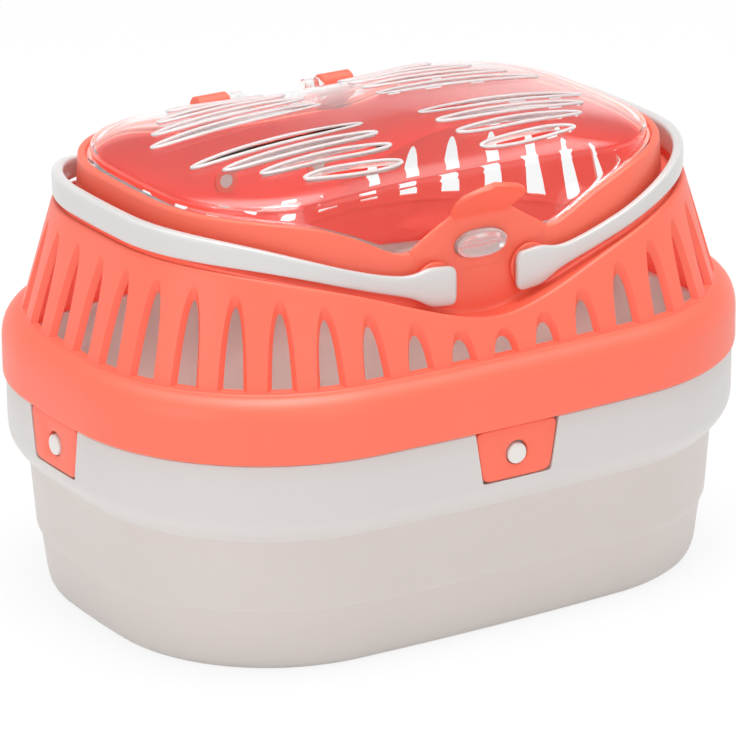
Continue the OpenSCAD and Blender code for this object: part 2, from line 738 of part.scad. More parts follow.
// Thumb lip that leans forward from the panel's top
module thumb_lip() {
    face = -half_w + collar_inset + collar_lean;
    top = root_z + flap_h;
    color(deep_coral)
        difference() {
            translate([0, face, top - 3.4])
                rotate([90 + thumb_lean, 0, 0])
                    translate([0, 0, -flap_t + 0.3]) linear_extrude(flap_t - 0.3) thumb_outline();
            translate([-thumb_half_w, face, top - 12]) cube([2 * thumb_half_w, 8, 12]);
        }
}

// Clip tab: a tapered plate with a round hole that snaps over a peg
module tab(side) {
    top = seat_z + gap - 0.05;
    color(deep_coral)
        on_face(side)
            translate([0, tab_inset + tab_t, 0])
                rotate([90, 0, 0])
                    linear_extrude(tab_t)
                        difference() {
                            union() {
                                polygon([
                                    [-tab_tip_half_w + 2, seat_z - tab_h],
                                    [tab_tip_half_w - 2, seat_z - tab_h],
                                    [tab_tip_half_w + 0.3, seat_z - tab_h + 2],
                                    [tab_half_w, top - gap],
                                    [-tab_half_w, top - gap],
                                    [-tab_tip_half_w - 0.3, seat_z - tab_h + 2]
                                ]);
                                for (s = [-1, 1])
                                    translate([s * (tab_tip_half_w - 1.8), seat_z - tab_h + 2])
                                        circle(r = 2);
                            }
                            translate([0, peg_z + 0.4]) circle(r = peg_r + 0.7);
                        }
}

module tab_front() {
    tab(0);
}

module tab_right() {
    tab(1);
}

module tab_back() {
    tab(2);
}

module tab_left() {
    tab(3);
}

tub();
side_pegs();
cage();
pivot_bosses();
hinge_lugs();
handle_left();
handle_right();
lid();
lid_button();
lid_hinge_pins();
latch_flap();
thumb_lip();
tab_front();
tab_back();
tab_left();
tab_right();
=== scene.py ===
import bpy
import bmesh
import math
from mathutils import Matrix, Vector


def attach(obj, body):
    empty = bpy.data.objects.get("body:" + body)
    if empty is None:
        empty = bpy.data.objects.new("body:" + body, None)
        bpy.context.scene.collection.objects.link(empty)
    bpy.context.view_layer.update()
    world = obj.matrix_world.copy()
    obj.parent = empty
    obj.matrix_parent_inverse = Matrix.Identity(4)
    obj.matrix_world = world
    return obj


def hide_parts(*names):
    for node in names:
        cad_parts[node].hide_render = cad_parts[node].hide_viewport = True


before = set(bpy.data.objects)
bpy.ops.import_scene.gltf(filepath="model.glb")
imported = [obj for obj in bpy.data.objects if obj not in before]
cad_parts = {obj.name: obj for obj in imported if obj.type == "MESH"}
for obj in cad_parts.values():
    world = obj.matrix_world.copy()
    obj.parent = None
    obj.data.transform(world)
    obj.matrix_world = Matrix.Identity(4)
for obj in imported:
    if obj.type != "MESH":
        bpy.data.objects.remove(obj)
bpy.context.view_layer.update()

# ---------------------------------------------------------------- Tub
# The tub is a deep tray injection moulded in milky polypropylene. Its band stands proud
# near the top, the belly flares into it, and a low rim stands inside the cage's skirt.
SIDE_R, END_R, CORNER_R = 1300.0, 540.0, 90.0
HALF_L, HALF_W = 150.0, 110.0
end_cx, side_cy = HALF_L - END_R, HALF_W - SIDE_R
to_side, to_end = SIDE_R - CORNER_R, END_R - CORNER_R
apart = math.hypot(end_cx, side_cy)
along = (to_side ** 2 - to_end ** 2 + apart ** 2) / (2 * apart)
across = math.sqrt(to_side ** 2 - along ** 2)
corner_cx = (along * end_cx - across * side_cy) / apart
corner_cy = side_cy - (along * side_cy + across * end_cx) / apart
side_a = math.atan2(corner_cy - side_cy, corner_cx)
end_a = math.atan2(corner_cy, corner_cx - end_cx)
FOOT = 8.5
run_side = (SIDE_R - FOOT) * (math.pi / 2 - side_a)
run_corner = (CORNER_R - FOOT) * (side_a - end_a)
run_end = (END_R - FOOT) * end_a
QUARTER = run_side + run_corner + run_end


def outline_at(s):
    """Point of the skirt's outline s mm round from the middle of the front, its outward
    direction, and the radius of its arc. s is measured along a line FOOT mm inside."""
    s = s % (4 * QUARTER)
    q = int(s // QUARTER)
    r = s - q * QUARTER
    if q % 2:
        r = QUARTER - r
    if r < run_side:
        a = math.pi / 2 - r / (SIDE_R - FOOT)
        c = (0.0, side_cy, SIDE_R)
    elif r < run_side + run_corner:
        a = side_a - (r - run_side) / (CORNER_R - FOOT)
        c = (corner_cx, corner_cy, CORNER_R)
    else:
        a = end_a - (r - run_side - run_corner) / (END_R - FOOT)
        c = (end_cx, 0.0, END_R)
    nx, ny = math.cos(a), math.sin(a)
    x, y = c[0] + c[2] * nx, c[1] + c[2] * ny
    sx = 1 if q in (0, 1) else -1
    sy = -1 if q in (0, 3) else 1
    return sx * x, sy * y, sx * nx, sy * ny, c[2]


def inset(s, t, z):
    x, y, nx, ny, _r = outline_at(s)
    return (x - t * nx, y - t * ny, z)


def solid(name, verts, faces, smooth=35, marks=()):
    """Mesh object from points in mm. marks gives each face its material's number."""
    mesh = bpy.data.meshes.new(name)
    mesh.from_pydata([(x / 1000, y / 1000, z / 1000) for x, y, z in verts], [], faces)
    for polygon, mark in zip(mesh.polygons, marks):
        polygon.material_index = mark
    bm = bmesh.new()
    bm.from_mesh(mesh)
    bmesh.ops.remove_doubles(bm, verts=bm.verts, dist=0.00002)
    bmesh.ops.recalc_face_normals(bm, faces=bm.faces)
    bm.to_mesh(mesh)
    bm.free()
    mesh.shade_smooth()
    mesh.set_sharp_from_angle(angle=math.radians(smooth))
    obj = bpy.data.objects.new(name, mesh)
    bpy.context.scene.collection.objects.link(obj)
    return obj


def skin(name, rings, joined=False, smooth=35):
    """Skins rings of one length, each a closed loop. joined closes the last to the first."""
    n, m = len(rings[0]), len(rings)
    faces = []
    for k in range(m if joined else m - 1):
        for i in range(n):
            j = (i + 1) % n
            k2 = (k + 1) % m
            faces.append((k * n + i, k * n + j, k2 * n + j, k2 * n + i))
    if not joined:
        faces.append(tuple(range(n)))
        faces.append(tuple(range((m - 1) * n, m * n)))
    return solid(name, [p for r in rings for p in r], faces, smooth)


def prism_faces(n, base=0):
    """Faces of a prism whose two n-sided ends are listed one after the other."""
    ends = [tuple(range(n)), tuple(range(n, 2 * n))]
    flanks = [(i, (i + 1) % n, n + (i + 1) % n, n + i) for i in range(n)]
    return [tuple(base + i for i in face) for face in ends + flanks]


def carve(obj, tool):
    """Cuts the tool out of the object and removes the tool."""
    cut = obj.modifiers.new("carve", "BOOLEAN")
    cut.operation = "DIFFERENCE"
    cut.object = tool
    cut.solver = "EXACT"
    bpy.context.view_layer.objects.active = obj
    bpy.ops.object.modifier_apply(modifier="carve")
    bpy.data.objects.remove(tool)


def plastic(name, colour, rough=0.42, grain=0.03, glow=0.0, coat=0.0, tint=None, depth=0.0):
    """Moulded plastic: one pigment, slightly uneven gloss, and the fine grain of the tool.
    glow is light of its own, and depth is how far light scatters under the surface."""
    mat = bpy.data.materials.new(name)
    mat.use_nodes = True
    nt = mat.node_tree
    bsdf = nt.nodes["Principled BSDF"]
    bsdf.inputs["Base Color"].default_value = (*colour, 1)
    bsdf.inputs["Roughness"].default_value = rough
    bsdf.inputs["IOR"].default_value = 1.49
    bsdf.inputs["Coat Weight"].default_value = coat
    bsdf.inputs["Coat Roughness"].default_value = 0.18
    coords = nt.nodes.new("ShaderNodeTexCoord")
    cloud = nt.nodes.new("ShaderNodeTexNoise")
    cloud.inputs["Scale"].default_value = 22
    cloud.inputs["Detail"].default_value = 3
    nt.links.new(coords.outputs["Object"], cloud.inputs["Vector"])
    gloss = nt.nodes.new("ShaderNodeMapRange")
    gloss.inputs["To Min"].default_value = rough - 0.06
    gloss.inputs["To Max"].default_value = rough + 0.06
    nt.links.new(cloud.outputs["Fac"], gloss.inputs["Value"])
    nt.links.new(gloss.outputs["Result"], bsdf.inputs["Roughness"])
    if tint:
        blend = nt.nodes.new("ShaderNodeMix")
        blend.data_type = "RGBA"
        blend.inputs["A"].default_value = (*colour, 1)
        blend.inputs["B"].default_value = (*tint, 1)
        nt.links.new(cloud.outputs["Fac"], blend.inputs["Factor"])
        nt.links.new(blend.outputs["Result"], bsdf.inputs["Base Color"])
    fine = nt.nodes.new("ShaderNodeTexNoise")
    fine.inputs["Scale"].default_value = 1400
    fine.inputs["Detail"].default_value = 2
    nt.links.new(coords.outputs["Object"], fine.inputs["Vector"])
    bump = nt.nodes.new("ShaderNodeBump")
    bump.inputs["Strength"].default_value = grain
    bump.inputs["Distance"].default_value = 0.0002
    nt.links.new(fine.outputs["Fac"], bump.inputs["Height"])
    nt.links.new(bump.outputs["Normal"], bsdf.inputs["Normal"])
    if glow:
        bsdf.inputs["Emission Color"].default_value = (*colour, 1)
        bsdf.inputs["Emission Strength"].default_value = glow
    if depth:
        bsdf.inputs["Subsurface Weight"].default_value = depth
        bsdf.inputs["Subsurface Radius"].default_value = (0.9, 0.85, 0.8)
        bsdf.inputs["Subsurface Scale"].default_value = 0.004
    return mat


milky = plastic("milky_polypropylene", (0.635, 0.59, 0.565), 0.4, 0.05, depth=0.35,
                tint=(0.615, 0.565, 0.535))
# A lighter copy of the milky plastic: painted light for the tub's band
milky_band_painted_light = plastic("milky_polypropylene_band_painted_light", (0.65, 0.625, 0.61), 0.38, 0.04, depth=0.35,
                     tint=(0.635, 0.61, 0.595))
BAND_Z, SEAT_Z = 58.1, 92.5
NEAR_TAB = 24.3
TUB_STATIONS = 440


def near_tab(s):
    """1 beside a clip's hollow and 0 away from it."""
    x, y = outline_at(s)[:2]
    return 1 / (1 + (min(abs(x), abs(y)) / NEAR_TAB) ** 8)


# Profile from the middle of the underside up to the rim, as (inset, height)
tub_outer = [
    (60, 0), (22.6, 0), (21.2, 0.15), (19.0, 0.7), (17.3, 2.0), (16.3, 3.9), (15.7, 6.2), (15.3, 9),
    (14.6, 15), (13.7, 22), (13.25, 25.0), (13.0, 25.9), (12.3, 26.7), (11.8, 27.4), (11.6, 28.4),
    (11.2, 34), (10.5, 44), (9.8, 53), (9.45, 57.4), (9.35, 57.9), (8.9, 58.3), (7.6, 59.6),
    (5.9, 61.4), (4.2, 63.5), (2.9, 65.6), (2.05, 67.6), (1.6, 69.6), (1.38, 72.2), (1.3, 76),
    (1.3, 91.7), (1.45, 92.2), (1.8, 92.5), (3.3, 92.5), (3.3, 95.6), (3.5, 96.2), (3.9, 96.5),
]
# And down inside, as (inset, height, extra inset behind a hollow)
tub_inner = [
    (5.1, 96.5, 1.6), (5.5, 96.2, 1.6), (5.6, 95.5, 1.6), (5.6, 71, 1.6), (6.4, 67.4, 1),
    (8.6, 62.8, 0), (11.2, 57.6, 0), (12.2, 53, 0), (13.9, 29, 0), (15.2, 25.5, 0),
    (17.5, 10, 0), (18.9, 4.8, 0), (21.0, 2.8, 0), (24, 2.3, 0), (60, 2.3, 0),
]
stations = [QUARTER * 4 * k / TUB_STATIONS for k in range(TUB_STATIONS)]
rings = [[inset(s, t, z) for s in stations] for t, z in tub_outer]
rings += [[inset(s, t + e * near_tab(s), z) for s in stations] for t, z, e in tub_inner]
tub = skin("tub_moulding", rings, smooth=50)

# The four hollows in the band that the clip tabs lie in
TAB_HALF, TAB_TIP, TAB_H, TAB_GAP = 19.3, 15.8, 21.8, 0.35
HOLLOW_D, HOLLOW_Z, HOLLOW_TOP = 4.55, 70.3, 97.6
for side in range(4):
    out = HALF_W if side % 2 == 0 else HALF_L
    a, b = TAB_HALF + TAB_GAP, TAB_TIP + TAB_GAP
    shape = [(-b + 1.2, HOLLOW_Z), (b - 1.2, HOLLOW_Z), (b - 0.1, 70.9), (b + 0.3, 72.7),
             (a, SEAT_Z), (a, HOLLOW_TOP), (-a, HOLLOW_TOP), (-a, SEAT_Z),
             (-b - 0.3, 72.7), (-b + 0.1, 70.9)]
    turn = Matrix.Rotation(math.radians(90 * side), 3, "Z")
    verts = [tuple(turn @ Vector((x, -out + d, z))) for d in (-2, HOLLOW_D) for x, z in shape]
    carve(tub, solid(f"hollow_{side}", verts, prism_faces(len(shape))))
tub.data.materials.clear()
tub.data.materials.append(milky)
# The band's outer faces get a lighter copy of the same plastic: painted light, for the band
# catching more light than the belly
tub.data.materials.append(milky_band_painted_light)
for polygon in tub.data.polygons:
    faces_out = polygon.normal.dot(Vector((polygon.center.x, polygon.center.y, 0))) > 0
    polygon.material_index = int(polygon.center.z * 1000 > BAND_Z and faces_out)
tub.data.set_sharp_from_angle(angle=math.radians(50))
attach(tub, "tub")
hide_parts("tub")

# ---------------------------------------------------------------- Pegs
# Four round studs moulded on the tub, one in each hollow, which the clips snap over.
# Their rims are rounded so that a clip rides up and over them.
peg_white = plastic("peg_polypropylene", (0.76, 0.73, 0.70), 0.34, 0.03)


def turned(name, profile, centre, outward, steps=48, smooth=35, bored=False):
    """Turns (radius, height) pairs about an axis that points outward from centre. bored joins
    the last pair to the first, which leaves a hole down the middle."""
    w = Vector(outward).normalized()
    u = w.orthogonal().normalized()
    v = w.cross(u)
    c = Vector(centre)
    loops = []
    for r, h in profile:
        loops.append([
            tuple(c + w * h + (u * math.cos(t) + v * math.sin(t)) * r)
            for t in (2 * math.pi * k / steps for k in range(steps))
        ])
    return skin(name, loops, joined=bored, smooth=smooth)


PEG_Z = 80.6
peg_shape = [(4.3, 0), (4.3, 2.75), (4.1, 3.2), (3.7, 3.5), (3.1, 3.66), (1.8, 3.74), (0.2, 3.75)]
pegs = []
for side in range(4):
    out = HALF_W if side % 2 == 0 else HALF_L
    turn = Matrix.Rotation(math.radians(90 * side), 3, "Z")
    foot = turn @ Vector((0, -out + HOLLOW_D, PEG_Z))
    pegs.append(turned(f"peg_{side}", peg_shape, foot, turn @ Vector((0, -1, 0))))
for peg in pegs:
    peg.data.materials.append(peg_white)
    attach(peg, "tub")
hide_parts("side_pegs")

# ---------------------------------------------------------------- Cage
# One coral polypropylene moulding: the skirt that sits on the tub, the slotted wall that
# leans in, the gutter that the handles lie in, and the collar that frames the lid.
coral = plastic("coral_polypropylene", (0.96, 0.165, 0.10), 0.4, 0.05, tint=(0.95, 0.155, 0.093))
# Inside the collar the same coral is painted a deeper red, painted shade for the red of light
# bounced inside the cage, with a painted glow for light that comes through the thin walls
coral_inside_painted_shade_glow = plastic("coral_polypropylene_inside_painted_shade_glow", (0.95, 0.085, 0.06), 0.4, 0.05, glow=0.26,
                       tint=(0.93, 0.078, 0.056))
# The wall's inner face and the skirt's inside: the same coral painted a deeper red for the shade
# behind the wall, with a painted glow for light through the thin walls
coral_backlit_painted_shade_glow = plastic("coral_polypropylene_backlit_painted_shade_glow", (0.95, 0.11, 0.075), 0.4, 0.05, glow=0.2,
                        tint=(0.93, 0.10, 0.07))
# Material numbers: outside faces, the painted shade and glow inside the collar, and the painted
# shade and glow on the inner faces
OUTSIDE, IN_COLLAR_PAINTED_SHADE_GLOW, INNER_PAINTED_SHADE_GLOW = 0, 1, 2
SHOULDER_Z = 118.85
LIP_Z = SHOULDER_Z + 42.8
BACK_RISE, END_RISE = 12.0, 20.5
WALL_H, WALL_DIP = 48.7, 33
WALL_LEAN = 0.297
CAGE_WALL = 2.5
HANDLE_T = 22.3
COLLAR_T, COLLAR_TUCK, COLLAR_LEAN = 27.4, 6.1, 1.0
LIP_T = COLLAR_T + COLLAR_LEAN + 1 + 2.2
LEDGE_T = LIP_T + 4
SLOTS = 42
PITCH = 4 * QUARTER / SLOTS


def handle_x(s):
    """|x| of the handles' line, which every height round the cage follows."""
    x, _y, nx, _ny, _r = outline_at(s)
    return abs(x - HANDLE_T * nx)


def wall_top(x):
    return SHOULDER_Z + WALL_H - WALL_DIP * math.exp(-((x / 72.4) ** 1.77))


def lip_top(s):
    """Height of the collar's lip: low at the front, higher along the back and the ends."""
    rise = 1 - math.exp(-((max(0, handle_x(s) - 36) / 28) ** 1.4))
    at_back = outline_at(s)[1] > 0.01
    return LIP_Z + END_RISE * rise + (BACK_RISE * (1 - rise) if at_back else 0)


def wall_t(z):
    """Inset of the leaning wall at height z."""
    return FOOT + WALL_LEAN * (z - SHOULDER_Z)


def in_collar(s, t, z):
    """Like inset, but tucked in further towards the ends, as the collar is."""
    x, y, nx, ny, _r = outline_at(s)
    t = t + COLLAR_TUCK * nx * nx
    return (x - t * nx, y - t * ny, z)


def on_wall(s_mid, off, z, deep=0.0):
    """Point of the wall off mm beside the line that goes up from s_mid."""
    t = wall_t(z) + deep
    r = outline_at(s_mid + off)[4]
    return inset(s_mid + off * (r - FOOT) / (r - wall_t(z)), t, z)


# The wall is made one slot at a time. Each half bay runs from the slot's edge to the
# middle of the rib, in columns that all the rings above and below share.
SLOT_HALF, SLOT_IN_HALF = 5.9, 4.1
SILL_Z, SILL_RISE = SHOULDER_Z + 0.9, 0.5
RIB_COLS, SILL_COLS, SLOT_ROWS, CREST_ROWS = 3, 3, 13, 3
WALL_DEEP = CAGE_WALL + 0.1
CREST_DROP = 1.8
verts, faces, marks = [], [], []


def add(point):
    verts.append(point)
    return len(verts) - 1


def quad(a, b, c, d, mark=OUTSIDE):
    faces.append((a, b, c, d))
    marks.append(mark)


def slot_half(u, foot):
    """Half width of a slot at u of its height: nearly straight sides that close in an arch."""
    return foot * (1 - 0.30 * u) * math.sqrt(max(0.0, 1 - u ** 3.4))


# Each bay's middle, the tip of its slot's groove, and the tip of the opening behind it
bays = []
for k in range(SLOTS):
    mid = k * PITCH
    top_x = handle_x(mid)
    drop = 4.5 + 2.2 * (1 - math.exp(-((top_x / 90) ** 2)))
    tip = wall_top(top_x) - drop
    open_tip = SILL_Z + max(0.62 * (tip - SILL_Z), tip - SILL_Z - 6)
    bays.append((mid, tip, open_tip))

columns = []
for mid, _tip, _open_tip in bays:
    foot = [SLOT_HALF * (-1 + i / SILL_COLS) for i in range(SILL_COLS)]
    foot += [0.0] + [-v for v in foot[::-1]]
    rib = [SLOT_HALF + (PITCH / 2 - SLOT_HALF) * i / RIB_COLS for i in range(1, RIB_COLS)]
    offs = [-PITCH / 2] + [-v for v in rib[::-1]] + foot + rib
    columns.append([mid + o for o in offs])
stations = [s for c in columns for s in c]
per_bay = len(columns[0])


def wall_face(deep, foot_half, tips, sill_z, mark):
    """One face of the slotted wall, deep mm under the outer one. tips says which of a bay's
    tips its slots end at. Returns each bay's foot and the two edges of its slot."""
    feet, edges = [], []
    for k, bay in enumerate(bays):
        mid, tip_z = bay[0], bay[tips]
        sides = []
        for sign in (-1, 1):
            rows = []
            for j in range(SLOT_ROWS + 1):
                u = math.sin(0.5 * math.pi * j / SLOT_ROWS)
                z = sill_z + u * (tip_z - sill_z)
                # Neighbouring bays share the height of each row in the middle of the rib
                beside = bays[(k + sign) % SLOTS][tips]
                far_z = sill_z + u * ((tip_z + beside) / 2 - sill_z)
                edge = on_wall(mid, sign * slot_half(u, foot_half), z, deep)
                far = inset(mid + sign * PITCH / 2, wall_t(far_z) + deep, far_z)
                rows.append([
                    add(tuple(e + (g - e) * (i / RIB_COLS) for e, g in zip(edge, far)))
                    for i in range(RIB_COLS + 1)
                ])
            for low, high in zip(rows, rows[1:]):
                for i in range(RIB_COLS):
                    quad(low[i], low[i + 1], high[i + 1], high[i], mark)
            sides.append(rows)
        # Above the tip the two halves meet
        last = [sides[0][-1], sides[1][-1]]
        for g in range(1, CREST_ROWS + 1):
            now = []
            for h, sign in enumerate((-1, 1)):
                row = []
                for i in range(RIB_COLS + 1):
                    s = mid + sign * PITCH / 2 * i / RIB_COLS
                    z_top = wall_top(handle_x(s)) - CREST_DROP - deep * 0.35
                    p = verts[sides[h][-1][i]]
                    z = p[2] + (z_top - p[2]) * g / CREST_ROWS
                    row.append(add(inset(s, wall_t(z) + deep, z)))
                for i in range(RIB_COLS):
                    quad(last[h][i], last[h][i + 1], row[i + 1], row[i], mark)
                now.append(row)
            last = now
        feet.append((sides[0][0][::-1], sides[1][0]))
        edges.append([[row[0] for row in rows] for rows in sides])
    return feet, edges


outer_feet, outer_edges = wall_face(0.0, SLOT_HALF, 1, SILL_Z, OUTSIDE)
# The inner face gets the painted shade and glow
inner_feet, inner_edges = wall_face(WALL_DEEP, SLOT_IN_HALF, 2, SILL_Z + SILL_RISE, INNER_PAINTED_SHADE_GLOW)

# The slots' flanks, with an extra row of points near the outer edge
LIP_SHARE = 0.16
lips = []
for k in range(SLOTS):
    for out_edge, in_edge in zip(outer_edges[k], inner_edges[k]):
        lip_edge = []
        for a, b in zip(out_edge, in_edge):
            lip_edge.append(add(tuple(Vector(verts[a]).lerp(Vector(verts[b]), LIP_SHARE))))
        lips.append(lip_edge[0])
        for j in range(len(out_edge) - 1):
            quad(out_edge[j], out_edge[j + 1], lip_edge[j + 1], lip_edge[j])
            quad(lip_edge[j], lip_edge[j + 1], in_edge[j + 1], in_edge[j])


def ring_of(fn):
    return [add(fn(s)) for s in stations]


def band(a, b, mark=OUTSIDE):
    m = len(a)
    for i in range(m):
        j = (i + 1) % m
        quad(a[i], a[j], b[j], b[i], mark)


# The rings at the wall's two feet, which take over the wall's own points beside the slots
foot_out = ring_of(lambda s: inset(s, wall_t(SILL_Z), SILL_Z))
foot_in = ring_of(
    lambda s: inset(s, wall_t(SILL_Z + SILL_RISE) + WALL_DEEP, SILL_Z + SILL_RISE)
)
for ring, feet in ((foot_out, outer_feet), (foot_in, inner_feet)):
    for k, (left, right) in enumerate(feet):
        base = k * per_bay
        ring[base:base + RIB_COLS + 1] = left
        ring[base + RIB_COLS + 2 * SILL_COLS:base + per_bay] = right[:RIB_COLS]
# The sill at the foot of each slot, which also joins the flanks' lip rows at both ends
for k in range(SLOTS):
    first = k * per_bay + RIB_COLS
    last = first + 2 * SILL_COLS - 1
    for i in range(first, last + 1):
        quad(foot_out[i], foot_out[i + 1], foot_in[i + 1], foot_in[i])
        if i == first:
            faces[-1] += (lips[2 * k],)
        if i == last:
            faces[-1] = faces[-1][:2] + (lips[2 * k + 1],) + faces[-1][2:]
# Below the wall: shoulder and skirt, then their inner faces from row UNDER_OUTER + 1, which get the
# painted shade and glow
UNDER_OUTER = 19
under = [
    (8.75, 119.35), (8.45, 118.98), (7.9, 118.8), (7.0, 118.62), (5.8, 118.15), (4.4, 117.3),
    (3.1, 116.15), (2.0, 114.8), (1.15, 113.2), (0.55, 111.4), (0.2, 109.6), (0.05, 108.0),
    (0.0, 105.5), (0.0, 94.0), (0.08, 93.35), (0.4, 92.95), (0.9, 92.85), (2.0, 92.85),
    (2.4, 93.1), (2.5, 93.8), (2.5, 106.5), (2.9, 110.5), (3.8, 113.2), (5.6, 115.2),
    (8.2, 116.3), (10.6, 117.2),
]
previous = foot_out
for row, (t, z) in enumerate(under):
    now = ring_of(lambda s: inset(s, t, z))
    band(previous, now, INNER_PAINTED_SHADE_GLOW if row > UNDER_OUTER else OUTSIDE)
    previous = now
band(previous, foot_in, INNER_PAINTED_SHADE_GLOW)

# Above the wall: crest, gutter, collar, lip and ledge. At the latch the collar is lower.
WINGS_HALF, ROOT_HALF, NOTCH_STEP = 32.2, 12.8, 0.12
WING_Z, ROOT_Z = LIP_Z - 2.9, SHOULDER_Z + 31.8
GUTTER_D = 2.2
INNER_ROW = 23


def collar_top(s):
    """Height of the collar, and whether it is cut down there for the latch flap."""
    x, y = outline_at(s)[:2]
    if y < 0 and abs(x) < ROOT_HALF + 0.02:
        return ROOT_Z + 0.05, True
    if y < 0 and abs(x) < WINGS_HALF + 0.02:
        return WING_Z - 0.05, True
    return lip_top(s), False


collar_stations = []
for mid, _tip, _open_tip in bays:
    collar_stations += [mid + PITCH / 2 * i / RIB_COLS for i in range(-RIB_COLS, RIB_COLS)]
# Extra stations so that the latch's notch has upright sides
for edge in (WINGS_HALF, ROOT_HALF):
    for sign in (-1, 1):
        collar_stations += [sign * edge, sign * (edge + NOTCH_STEP)]
collar_stations = sorted(s % (4 * QUARTER) for s in collar_stations)

ids = []
for s in collar_stations:
    w = wall_top(handle_x(s))
    t = wall_t(w)
    top, low = collar_top(s)
    c1 = COLLAR_T + COLLAR_LEAN
    lip = c1 + CAGE_WALL - 0.2 if low else LIP_T
    ledge = c1 + CAGE_WALL if low else LEDGE_T
    seat = top - (0.6 if low else 2.2)
    round_off = 0 if low else 1
    run = [
        inset(s, wall_t(w - CREST_DROP), w - CREST_DROP), inset(s, wall_t(w - 1.1) + 0.02, w - 1.1),
        inset(s, t + 0.12, w - 0.55), inset(s, t + 0.4, w - 0.2), inset(s, t + 0.85, w),
        inset(s, t + 1.7, w + 0.02), inset(s, t + 2.3, w - 0.2), inset(s, t + 2.7, w - 0.7),
        inset(s, t + 3.0, w - 1.7), inset(s, t + 3.5, w - GUTTER_D),
        in_collar(s, COLLAR_T - 1.6, w - 2.1), in_collar(s, COLLAR_T - 0.7, w - 1.8),
        in_collar(s, COLLAR_T - 0.15, w - 1.1), in_collar(s, COLLAR_T, w + 0.2),
        in_collar(s, COLLAR_T + 0.5 * COLLAR_LEAN, (w + top) / 2),
        in_collar(s, c1, top - 1.3), in_collar(s, c1 + 0.1 * round_off, top - 0.7),
        in_collar(s, c1 + 0.4 * round_off, top - 0.25), in_collar(s, c1 + 0.9 * round_off, top),
        in_collar(s, lip - 0.5, top), in_collar(s, lip - 0.12, top - 0.12),
        in_collar(s, lip, top - 0.5), in_collar(s, lip + 0.15, seat),
        in_collar(s, ledge - 0.3, seat), in_collar(s, ledge, seat - 0.3),
        in_collar(s, ledge, seat - 2.0), in_collar(s, c1 + CAGE_WALL, seat - 2.6),
        in_collar(s, COLLAR_T + CAGE_WALL, w - GUTTER_D - CAGE_WALL),
        inset(s, t + CAGE_WALL + 3.4, w - GUTTER_D - CAGE_WALL - 0.5),
        inset(s, wall_t(w - 2.7) + WALL_DEEP, w - 2.7),
    ]
    ids.append([add(p) for p in run])
for i, here in enumerate(ids):
    beside = ids[(i + 1) % len(ids)]
    for g in range(len(here) - 1):
        # Faces past INNER_ROW, inside the collar, get the painted shade and glow
        mark = IN_COLLAR_PAINTED_SHADE_GLOW if g > INNER_ROW else OUTSIDE
        quad(here[g], beside[g], beside[g + 1], here[g + 1], mark)

cage = solid("cage_moulding", verts, faces, 42, marks)
cage.data.materials.append(coral)
cage.data.materials.append(coral_inside_painted_shade_glow)
cage.data.materials.append(coral_backlit_painted_shade_glow)
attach(cage, "cage")
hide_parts("cage")

# ---------------------------------------------------------------- Pivot bosses
# Round flanged bushes on the collar, moulded with the cage. Each takes a handle's pin.
PIVOT_X, PIVOT_Z = 22.4, SHOULDER_Z + 29.2
boss_shape = [(5.2, -4.8), (5.2, -0.2), (8.8, -0.1), (9.0, 0.15), (9.0, 0.75), (8.85, 1.03),
              (8.5, 1.2), (3.4, 1.2), (3.06, 0.9), (3.06, -4.8)]
for sx in (-1, 1):
    for sy in (-1, 1):
        face = (sx * PIVOT_X, sy * (HALF_W - COLLAR_T), PIVOT_Z)
        boss = turned(f"boss_{sx}_{sy}", boss_shape, face, (0, sy, 0), 56, 40, bored=True)
        boss.data.materials.append(coral)
        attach(boss, "cage")
        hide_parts("pivot_bosses")

# ---------------------------------------------------------------- Handles
# Two white bail handles, moulded in polypropylene with a polished face. Each goes round one
# end from front to back, and its arms end in flat rounded pads with a pin on the inner face.
white = plastic("white_polypropylene", (0.655, 0.65, 0.64), 0.3, 0.02, coat=0.25,
                tint=(0.64, 0.635, 0.625))
HANDLE_THICK, GRIP_EXTRA = 3.2, 2.2
GRIP_Z, ARM_DIP = wall_top(HALF_L) + 1.1, 24.5
ARM_H, GRIP_MORE_H = 7.2, 4.2
PAD_START, PAD_ROUND = PIVOT_X - 7.9, 3.4
BAND_SIDES, BAND_POWER = 20, 2 / 5.0
PIN_R = 3.0


def arm_low(x):
    """Lower edge of the band, which rises from the pads to the grip."""
    return GRIP_Z - ARM_DIP * math.exp(-((x / 76.6) ** 2.62))


def arm_height(x):
    return ARM_H + GRIP_MORE_H / (1 + (104 / max(x, 1)) ** 7)


def end_blend(x):
    """1 at the pad, falling to 0 along the arm."""
    return 1 / (1 + (max(x - PIVOT_X, 0) / 9.0) ** 3.2)


def power_curve(value, power):
    """Cosine or sine of a superellipse."""
    return math.copysign(abs(value) ** power, value)


